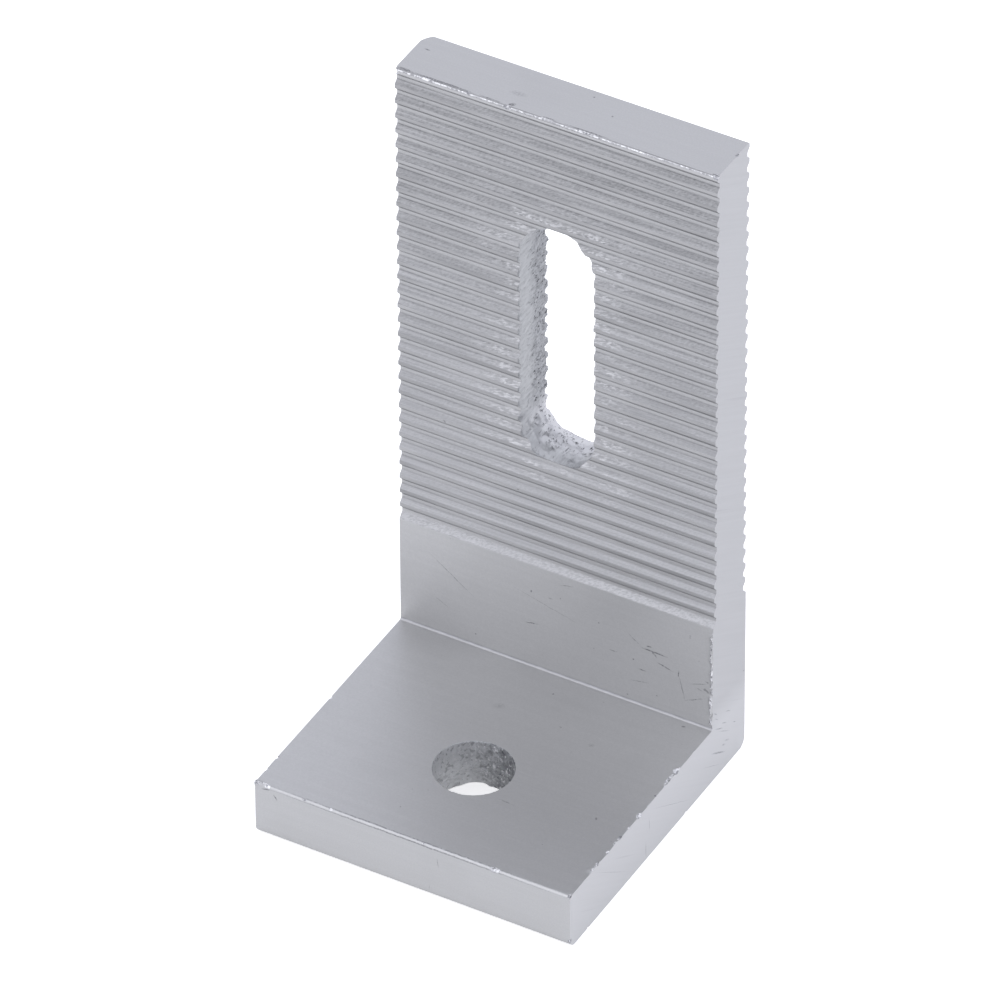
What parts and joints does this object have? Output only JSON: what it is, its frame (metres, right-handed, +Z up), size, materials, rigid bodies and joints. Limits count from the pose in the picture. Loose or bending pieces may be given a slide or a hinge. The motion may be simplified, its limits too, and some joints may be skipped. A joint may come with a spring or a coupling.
{
  "type": "solar l foot bracket",
  "caption": "Aluminium L-foot bracket: short plain base with a punched bolt hole and a tall upright with serrated faces and an upright punched slot.",
  "frame": {"origin": "middle of the base's footprint, on its underside", "axes": "+Z up the upright leg; X along the cut length of the extrusion; the upright stands at +Y and the base leg reaches to -Y"},
  "size_m": [0.04, 0.04, 0.085],
  "materials": {
    "aluminium": "satin mill finish, as extruded, with sawn ends and punched openings"
  },
  "bodies": {
    "root": {"bracket": "aluminium"}
  },
  "joints": []
}
